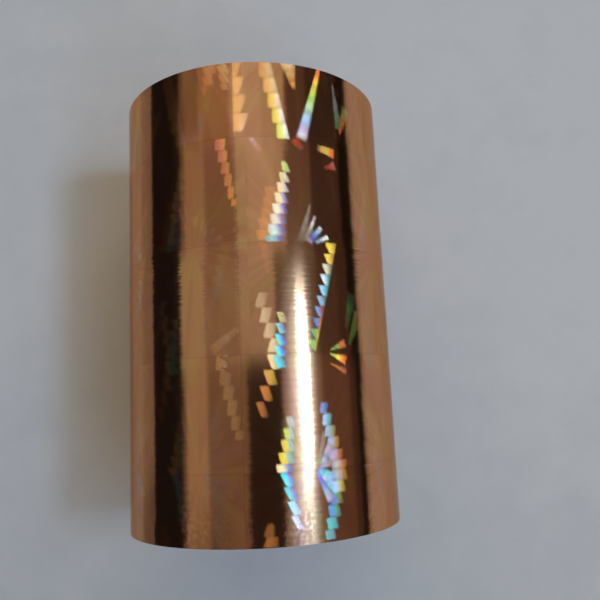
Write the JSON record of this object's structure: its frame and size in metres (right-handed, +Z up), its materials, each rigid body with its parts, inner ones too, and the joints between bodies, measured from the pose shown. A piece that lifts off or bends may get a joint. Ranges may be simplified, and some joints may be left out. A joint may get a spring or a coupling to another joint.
{
  "type": "roll of metallised foil film",
  "caption": "Wide roll of copper-coloured holographic metallised film wound on a spiral paper core, its free end held by a small clear tape.",
  "frame": {"origin": "on the axis of the core's bore, at the middle of the roll's length", "axes": "+Y along the roll's axis, +Z up with the roll lying on its side, and the free end of the film just past +X"},
  "size_m": [0.0627, 0.101, 0.0626],
  "materials": {
    "foil": "polished",
    "kraft_paper": "matte",
    "core_board": "matte",
    "white_tape": "matte",
    "clear_tape": "gloss"
  },
  "bodies": {
    "roll": {"core_liner": "kraft_paper", "core_body_ply_1": "core_board", "core_body_ply_2": "core_board", "core_body_ply_3": "core_board", "core_outer_ply": "kraft_paper", "start_tape": "white_tape", "foil_web": "foil"},
    "tail": {"foil_tail": "foil", "tail_tape": "clear_tape"}
  },
  "joints": [
    {"name": "tail_peel", "type": "hinge", "parent": "roll", "child": "tail", "pos_m": [0.03108, 0, 0.00296], "axis": [0, -1, 0], "range_deg": [0, 120], "stiffness_Nm_per_rad": 0.0001, "springref_deg": -28.65}
  ]
}
